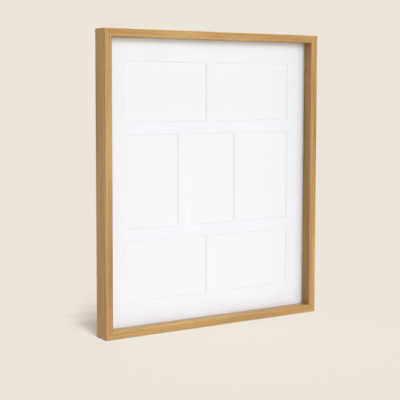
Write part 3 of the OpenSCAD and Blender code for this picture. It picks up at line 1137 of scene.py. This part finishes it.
@dataclass
class Back:
    """The corrugated filler card and the board that closes the back."""

    rivet_tail: float = 2.4
    tail_relief: float = 0.8
    relief_depth: float = 1.6
    rivet_hole: float = 1.65
    board_ease: float = 0.4

    def build(self, rivets: Iterable[Vector]) -> None:
        """Builds and dresses both sheets.

        Args:
            rivets: Where the hangers' rivets go through the board.
        """
        rivets = list(rivets)
        low, high = box_mm("filler_card")
        card = corrugated_tree().run("corrugated_filler", KRAFT.build(), Width=high.x - low.x,
                                     Height=high.z - low.z, Thickness=high.y - low.y)
        card.data.transform(Matrix.Translation((low + high) / 2))
        bm = bmesh.new()
        drill(bm, rivets, high.y, self.rivet_tail + self.tail_relief, self.relief_depth)
        carve(card, to_mesh(bm, "reliefs"))
        settle(card, Matrix.Identity(4))
        hand_over(card, "frame", "corrugated_card", "filler_card")
        low, high = box_mm("backing_board")
        holes = []
        for spot in rivets:
            circle = arc((spot.x, spot.z), self.rivet_hole, 0, 360, 24)[:-1]
            holes.append((circle, circle))
        mesh = pierced_sheet("board", rectangle((low.x, low.z), (high.x, high.z)), holes, high.y - low.y)
        board = link_mesh("rear_board", mesh, HARDBOARD.build())
        settle(board, facing_front((0, high.y, 0)), self.board_ease)
        hand_over(board, "frame", "fibreboard", "backing_board")


@dataclass
class TurnButtons:
    """The eight turn buttons, each on its own body, and the screws that they turn on."""

    width: float = 7.6
    reach: float = 20.0
    hole: float = 1.5
    rib_width: float = 2.2
    rib_height: float = 0.45
    rib_gap: float = 2.2
    edge_ease: float = 0.25
    head_radius: float = 2.8
    head_height: float = 1.8
    head_edge: float = 0.15
    rim_share: float = 0.55
    core_radius: float = 1.05
    crest_radius: float = 1.45
    shank: float = 12.0
    # Where the screw's neck widens from its core to its crest
    neck: tuple[float, float] = (-0.6, -0.2)
    point_length: float = 2.2
    point_share: float = 0.35
    point_blunt: float = 0.3
    thread_start: float = 1.0
    play: float = 0.05
    recess_width: float = 0.8
    recess_length: float = 3.0
    recess_depth: float = 1.1
    recess_taper: float = 0.6
    screw_ease: float = 0.08

    def __post_init__(self) -> None:
        """Finds the buttons' joints and the plane that they lie on."""
        joints = [joint for joint in frame["joints"] if joint["child"].startswith("button_")]
        self.pivots = {joint["child"]: Vector(joint["pos_m"]) / MM for joint in joints}
        low, high = box_mm("turn_button_bottom_left")
        self.seat, self.thickness = low.y, high.y - low.y

    def screw_places(self) -> list[Vector]:
        """Gives each screw's place on the back of the moulding."""
        return [Vector((spot.x, self.seat, spot.z)) for spot in self.pivots.values()]

    def build(self, fasteners: SizedTree) -> None:
        """Builds and dresses the buttons and their screws.

        Args:
            fasteners: The tree that sets the screws.
        """
        zinc = ZINC.build()
        for body, pivot in self.pivots.items():
            node = f"turn_{body}"
            low, high = box_mm(node)
            aim = (low + high) / 2 - pivot
            # From behind, X runs to the left, so the button's turn is counted from +Z that way
            turn = Matrix.Rotation(math.atan2(aim.x, aim.z), 4, "Z")
            button = self.build_button(f"{body}_strip", zinc)
            settle(button, facing_back((pivot.x, self.seat, pivot.z)) @ turn, self.edge_ease)
            hand_over(button, body, "zinc_steel", node)
        screw = self.build_screw()
        places = [(spot, 0.0) for spot in self.screw_places()]
        screws = set_fasteners("button_screw_set", fasteners, screw, NICKEL.build(), places, math.pi / 2)
        settle(screws, Matrix.Identity(4), self.screw_ease, 1)
        hand_over(screws, "frame", "nickel_steel", "button_screws")

    def build_button(self, name: str, finish: Material) -> Object:
        """Builds one button: a stamped strip with round ends, a hole and a pressed rib.

        Args:
            name: The object's name.
            finish: Its material.

        Returns:
            The button, with its hole on the origin and its tip along Y.
        """
        end = self.width / 2
        tip = self.reach - end
        outline = [*arc((0, tip), end, 0, 180, 16), *arc((0, 0), end, 180, 360, 16)]
        circle = arc((0, 0), self.hole, 0, 360, 24)[:-1]
        mesh = pierced_sheet(name, outline, [(circle, circle)], self.thickness)
        button = link_mesh(name, mesh, finish)
        rib = bmesh.new()
        first, last = self.head_radius + self.rib_gap, tip
        bmesh.ops.create_uvsphere(rib, u_segments=16, v_segments=12, radius=1.0)
        for vertex in rib.verts:
            centre = last if vertex.co.y > 0 else first
            vertex.co = Vector((vertex.co.x * self.rib_width / 2, centre + vertex.co.y * self.rib_width / 2,
                                self.thickness + vertex.co.z * self.rib_height))
        return carve(button, to_mesh(rib, "rib"), "UNION")

    def build_screw(self) -> Object:
        """Builds one pan-head screw with a cross recess and a thread.

        Returns:
            The screw, with the plane that the button lies on at Z 0.
        """
        under = self.thickness + self.play
        top = under + self.head_height
        rim = under + self.rim_share * self.head_height
        end = -self.shank
        profile = [
            (0, end), (self.core_radius * self.point_share, end + self.point_blunt),
            (self.core_radius, end + self.point_length), (self.core_radius, self.neck[0]),
            (self.crest_radius, self.neck[1]), (self.crest_radius, under),
            (self.head_radius - self.head_edge, under), (self.head_radius, under + self.head_edge),
            *dome(self.head_radius, rim, top), (0, top)]
        screw = link_mesh("screw", turned("screw", profile, 32))
        long, wide = self.recess_length / 2, self.recess_width / 2
        quarter = [(wide, wide), (wide, long), (-wide, long)]
        outline = []
        for turn in (0, 90, 180, 270):
            spin = Matrix.Rotation(math.radians(turn), 2)
            outline += [tuple(spin @ Vector(corner)) for corner in quarter]
        cross = pierced_sheet("cross", outline, [], self.recess_depth + OVERRUN)
        for vertex in cross.vertices:
            if vertex.co.z < self.recess_depth / 2:
                vertex.co.xy *= self.recess_taper
        cross.transform(Matrix.Translation((0, 0, top - self.recess_depth)))
        carve(screw, cross)
        thread = screw_thread_tree().run("thread", None, Core=self.core_radius, Crest=self.crest_radius,
                                         Length=self.shank - self.thread_start)
        joined = bmesh.new()
        joined.from_mesh(screw.data)
        joined.from_mesh(thread.data)
        joined.to_mesh(screw.data)
        joined.free()
        bpy.data.objects.remove(thread)
        return screw


@dataclass
class Hangers:
    """The two strap hangers with their D-rings and rivets, and the two wall bumpers."""

    strap_width: float = 10.0
    strap_thick: float = 0.8
    strap_ease: float = 0.15
    neck_length: float = 4.0
    wire: float = 2.0
    bow_radius: float = 7.5
    ring_side: float = 4.0
    eye_play: float = 0.05
    # Where the strap ends once it is rolled round the ring's bar, in degrees
    eye_end: float = -100.0
    rivet_pitch: float = 10.0
    rivet_radius: float = 1.6
    rivet_edge: float = 0.2
    rivet_ease: float = 0.06
    head_radius: float = 3.0
    head_height: float = 1.0
    tail_radius: float = 2.4
    tail_height: float = 0.8
    bumper_edge: float = 0.8
    bumper_foot: float = 0.1
    dish_share: float = 0.4
    dish_depth: float = 0.15

    def __post_init__(self) -> None:
        """Finds the rings' joints and the face of the board."""
        joints = {joint["child"]: joint for joint in frame["joints"]}
        self.eyes = {side: Vector(joints[f"ring_{side}"]["pos_m"]) / MM for side in ("left", "right")}
        low, high = box_mm("backing_board")
        self.board, self.board_thick = high.y, high.y - low.y
        self.strap_end = box_mm("hanger_plate_left")[0].z

    def rivet_places(self) -> list[Vector]:
        """Finds where the rivets go.

        Returns:
            Each rivet's place on the back of the board.
        """
        lowest = self.strap_end + self.strap_width / 2
        heights = (lowest, lowest + self.rivet_pitch)
        return [Vector((eye.x, self.board, z)) for eye in self.eyes.values() for z in heights]

    def build(self, fasteners: SizedTree) -> None:
        """Builds and dresses the hangers, the rings, the rivets and the bumpers.

        Args:
            fasteners: The tree that sets the rivets.
        """
        zinc, nickel, rubber = ZINC.build(), NICKEL.build(), RUBBER.build()
        ring_tree = wire_ring_tree()
        for side, eye in self.eyes.items():
            strap = link_mesh(f"strap_{side}", self.build_strap(eye), zinc)
            settle(strap, Matrix.Translation((eye.x, 0, 0)), self.strap_ease)
            hand_over(strap, "frame", "zinc_steel", f"hanger_plate_{side}")
            ring = ring_tree.run(f"d_ring_{side}", nickel, Bow_radius=self.bow_radius, Side=self.ring_side,
                                 Wire=self.wire)
            settle(ring, facing_back(eye))
            hand_over(ring, f"ring_{side}", "nickel_steel", f"hanger_ring_{side}")
            self.build_bumper(side, rubber)
        rivet = link_mesh("rivet", turned("rivet", self.rivet_profile(), 32))
        rivets = set_fasteners("rivet_set", fasteners, rivet, nickel,
                               [(spot, 0.0) for spot in self.rivet_places()])
        settle(rivets, Matrix.Identity(4), self.rivet_ease, 1)
        hand_over(rivets, "frame", "nickel_steel", "hanger_rivets")

    def rivet_profile(self) -> Outline:
        """Draws a rivet's profile, from its closed end inside the frame to its head.

        Returns:
            The radius and the height of each point, with the board's back at height 0.
        """
        tail_top = -self.board_thick
        tail_end = tail_top - self.tail_height
        seat, edge = self.strap_thick, self.rivet_edge
        return [(0, tail_end), (self.tail_radius - edge, tail_end), (self.tail_radius, tail_end + edge),
                (self.tail_radius, tail_top), (self.rivet_radius, tail_top), (self.rivet_radius, seat),
                (self.head_radius - edge / 2, seat),
                *dome(self.head_radius, seat + edge, seat + self.head_height), (0, seat + self.head_height)]

    def strap_line(self, eye: Vector) -> list[tuple[float, float, float]]:
        """Gives the strap's middle line, from its round end up and round the ring.

        Args:
            eye: The middle of the eye.

        Returns:
            Y, Z and half the width at each point.
        """
        flat_y = self.board + self.strap_thick / 2
        radius = self.wire / 2 + self.eye_play + self.strap_thick / 2
        straight = eye.z - self.neck_length
        end = self.strap_width / 2
        line = []
        for turn in range(6, 91, 7):
            angle = math.radians(turn)
            line.append((flat_y, self.strap_end + end * (1 - math.cos(angle)), end * math.sin(angle)))
        line.append((flat_y, straight, end))
        rise = eye.y - radius - flat_y
        for share in (0.2, 0.4, 0.6, 0.8):
            smooth = share * share * (3 - 2 * share)
            line.append((flat_y + rise * smooth, straight + (eye.z - straight) * share, end))
        return line + [(y, z, end) for y, z in arc((eye.y, eye.z), radius, 180, self.eye_end, 28)]

    def build_strap(self, eye: Vector) -> Mesh:
        """Builds a strap with its rolled eye, its middle on X 0.

        Args:
            eye: The middle of the eye.

        Returns:
            The mesh.
        """
        line = [Vector(point) for point in self.strap_line(eye)]
        columns = [math.sin(math.radians(turn)) for turn in range(-90, 91, 15)]
        bm = bmesh.new()
        layers: list[list[list[BMVert]]] = [[], []]
        for i, point in enumerate(line):
            ahead = line[min(i + 1, len(line) - 1)] - line[max(i - 1, 0)]
            normal = Vector((ahead.y, -ahead.x)).normalized() * self.strap_thick / 2
            for layer, side in zip(layers, (1, -1)):
                spot = point.xy + normal * side
                layer.append([bm.verts.new((point.z * column, spot.x, spot.y)) for column in columns])
        for layer in layers:
            for low, high in zip(layer, layer[1:]):
                for i in range(len(columns) - 1):
                    bm.faces.new((low[i], low[i + 1], high[i + 1], high[i]))
        outer, inner = layers
        for low, high in ((outer[0], inner[0]), (outer[-1], inner[-1])):
            for i in range(len(columns) - 1):
                bm.faces.new((low[i], low[i + 1], high[i + 1], high[i]))
        for i in range(len(line) - 1):
            for edge in (0, -1):
                bm.faces.new((outer[i][edge], outer[i + 1][edge], inner[i + 1][edge], inner[i][edge]))
        return to_mesh(bm, "strap")

    def build_bumper(self, side: str, finish: Material) -> None:
        """Builds one bumper: a moulded pad with a rounded rim and a shallow dish in its end.

        Args:
            side: Which side it is on.
            finish: Its material.
        """
        node = f"wall_bumper_{side}"
        low, high = box_mm(node)
        radius, height, edge = (high.x - low.x) / 2, high.y - low.y, self.bumper_edge
        profile = [(0, 0), (radius - self.bumper_foot, 0), (radius, self.bumper_foot),
                   *arc((radius - edge, height - edge), edge, 0, 90, 8),
                   (radius * self.dish_share, height), (0, height - self.dish_depth)]
        pad = link_mesh(f"bumper_{side}", turned("bumper", profile, 48), finish)
        settle(pad, facing_back(((low.x + high.x) / 2, low.y, (low.z + high.z) / 2)))
        hand_over(pad, "frame", "grey_rubber", node)


class Reach(Enum):
    """What a lamp lights, as the flags round a studio lamp settle it. The value is the floor's link state."""

    FRAME_ONLY = "EXCLUDE"
    FLOOR_ONLY = "INCLUDE"


@dataclass(frozen=True)
class Lamp:
    """A far soft lamp. Its share is how bright it makes a white surface that faces it."""

    name: str
    azimuth: float
    elevation: float
    share: float
    softness: float
    reach: Reach = Reach.FRAME_ONLY

    def towards(self) -> Vector:
        """Works out where the lamp is. Azimuth 0 is in front of the frame and 90 on its right.

        Returns:
            The direction to the lamp.
        """
        azimuth, elevation = math.radians(self.azimuth), math.radians(self.elevation)
        flat = math.cos(elevation)
        return Vector((math.sin(azimuth) * flat, -math.cos(azimuth) * flat, math.sin(elevation)))

    def build(self, floor: Object, pane: Object, colour: str) -> None:
        """Hangs the lamp.

        Args:
            floor: The floor, which the lamp leaves out or lights alone.
            pane: The glass, which mirrors no lamp, as behind a polarising filter.
            colour: The colour of the lamp's light. On the floor it is white.
        """
        data = bpy.data.lights.new(self.name, "SUN")
        flagged = bpy.data.collections.new(f"flag of the {self.name}")
        flagged.objects.link(floor)
        if self.reach is Reach.FRAME_ONLY:
            data.color = linear(colour)[:3]
            flagged.objects.link(pane)
        data.energy = self.share * math.pi
        data.angle = math.radians(self.softness)
        lamp = bpy.data.objects.new(self.name, data)
        lamp.rotation_mode = "QUATERNION"
        lamp.rotation_quaternion = self.towards().to_track_quat("Z", "Y")
        bpy.context.scene.collection.objects.link(lamp)
        for member in flagged.collection_objects:
            member.light_linking.link_state = self.reach.value
        lamp.light_linking.receiver_collection = flagged


@dataclass
class Studio:
    """The camera at the photograph's viewing angle, and a plain cream studio."""

    camera_mm: tuple[float, float, float] = (-865.95, -1330.49, 365.43)
    yaw: float = 32.37
    pitch: float = 4.38
    roll: float = 0.11
    lens: float = 92.05
    shift: float = -0.0776
    cream: str = "#ebe5da"
    fill: float = 0.3
    fill_colour: str = "#fbfbff"
    lamp_colour: str = "#f8fbff"
    floor_glow: float = 0.45
    floor_mm: float = 60000.0
    clip_m: tuple[float, float] = (0.05, 200.0)
    # Five lamps light the frame. Four others, high up and a little to the left, cast its shadow on the floor
    lamps: tuple[Lamp, ...] = (
        Lamp("key from the front", 7, 18, 0.55, 28),
        Lamp("light from above", 0, 84, 0.56, 14),
        Lamp("light on the right", 78, 10, 0.19, 30),
        Lamp("light on the left", -120, 40, 0.22, 40),
        Lamp("light from behind", 160, 35, 0.50, 40),
        Lamp("first light on the floor", -4, 77, 0.84, 5, Reach.FLOOR_ONLY),
        Lamp("second light on the floor", -10, 70, 0.66, 4, Reach.FLOOR_ONLY),
        Lamp("third light on the floor", -18, 63, 0.46, 4, Reach.FLOOR_ONLY),
        Lamp("fourth light on the floor", -22, 55, 0.32, 6, Reach.FLOOR_ONLY))

    def build(self, pane: Object) -> None:
        """Builds the camera, the lamps, the world and the floor.

        Args:
            pane: The frame's glass, which mirrors no lamp.
        """
        scene = bpy.context.scene
        scene.view_settings.view_transform = "Standard"
        data = bpy.data.cameras.new("camera")
        data.lens = self.lens
        data.shift_y = self.shift
        data.clip_start, data.clip_end = self.clip_m
        camera = bpy.data.objects.new("camera", data)
        turn = (Matrix.Rotation(-math.radians(self.yaw), 4, "Z")
                @ Matrix.Rotation(math.radians(90 - self.pitch), 4, "X")
                @ Matrix.Rotation(math.radians(self.roll), 4, "Z"))
        camera.matrix_world = Matrix.Translation(Vector(self.camera_mm) * MM) @ turn
        scene.collection.objects.link(camera)
        scene.camera = camera
        self.build_world()
        floor = self.build_floor()
        for lamp in self.lamps:
            lamp.build(floor, pane, self.lamp_colour)

    def seen(self, tree: NodeTree) -> Node:
        """Tells what is seen directly, in a reflection or through glass from what only lights.

        Args:
            tree: The tree that gets the nodes.

        Returns:
            The node whose value is 1 for what is seen and 0 for the rest.
        """
        rays = add(tree, "ShaderNodeLightPath").outputs
        mirrored = add(tree, "ShaderNodeMath", {0: rays["Is Camera Ray"], 1: rays["Is Glossy Ray"]},
                       operation="MAXIMUM")
        return add(tree, "ShaderNodeMath", {0: mirrored, 1: rays["Is Transmission Ray"]}, operation="MAXIMUM")

    def build_world(self) -> None:
        """Makes the world: cream where it is seen, and a pale fill light elsewhere."""
        world = bpy.data.worlds.new("studio")
        world.use_nodes = True
        tree = world.node_tree
        tree.nodes.clear()
        seen = self.seen(tree)
        light = add(tree, "ShaderNodeBackground", {"Color": linear(self.fill_colour), "Strength": self.fill})
        backdrop = add(tree, "ShaderNodeBackground", {"Color": linear(self.cream), "Strength": 1.0})
        mixed = add(tree, "ShaderNodeMixShader", {0: seen, 1: light, 2: backdrop})
        add(tree, "ShaderNodeOutputWorld", {"Surface": mixed})
        bpy.context.scene.world = world

    def build_floor(self) -> Object:
        """Makes the floor, whose colour comes out as the backdrop's where no shadow falls.

        Part of what is seen of it is a glow of that colour, which keeps the shadows as pale as on studio
        paper.

        Returns:
            The floor.
        """
        half = self.floor_mm / 2
        mesh = bpy.data.meshes.new("floor")
        mesh.from_pydata([(x * MM, y * MM, 0.0) for x, y in rectangle((-half, -half), (half, half))], [],
                         [(0, 1, 2, 3)])
        material = bpy.data.materials.new("Matt painted floor")
        material.use_nodes = True
        tree = material.node_tree
        tree.nodes.clear()
        fill_light = Vector(linear(self.fill_colour)[:3]) * self.fill
        on_floor = [lamp for lamp in self.lamps if lamp.reach is Reach.FLOOR_ONLY]
        lamp_light = sum(lamp.share * lamp.towards().z for lamp in on_floor)
        lit = [channel + lamp_light for channel in fill_light]
        paint = [channel / light for channel, light in zip(linear(self.cream), lit)]
        shown = add(tree, "ShaderNodeBsdfDiffuse", {"Color": (*paint, 1.0)})
        glow = add(tree, "ShaderNodeEmission", {"Color": linear(self.cream), "Strength": 1.0})
        share = add(tree, "ShaderNodeMath", {0: self.seen(tree), 1: self.floor_glow}, operation="MULTIPLY")
        mixed = add(tree, "ShaderNodeMixShader", {0: share, 1: shown, 2: glow})
        add(tree, "ShaderNodeOutputMaterial", {"Surface": mixed})
        floor = link_mesh("floor", mesh, material)
        return floor


def main() -> None:
    """Builds every sub-assembly and the studio in order."""
    logging.basicConfig(level=logging.INFO, format="%(message)s")
    fasteners = fastener_tree()
    buttons = TurnButtons()
    hangers = Hangers()
    Moulding().build(buttons.screw_places(), fasteners)
    pane = Display().build()
    Back().build(hangers.rivet_places())
    buttons.build(fasteners)
    hangers.build(fasteners)
    Studio().build(pane)


if __name__ == "__main__":
    main()
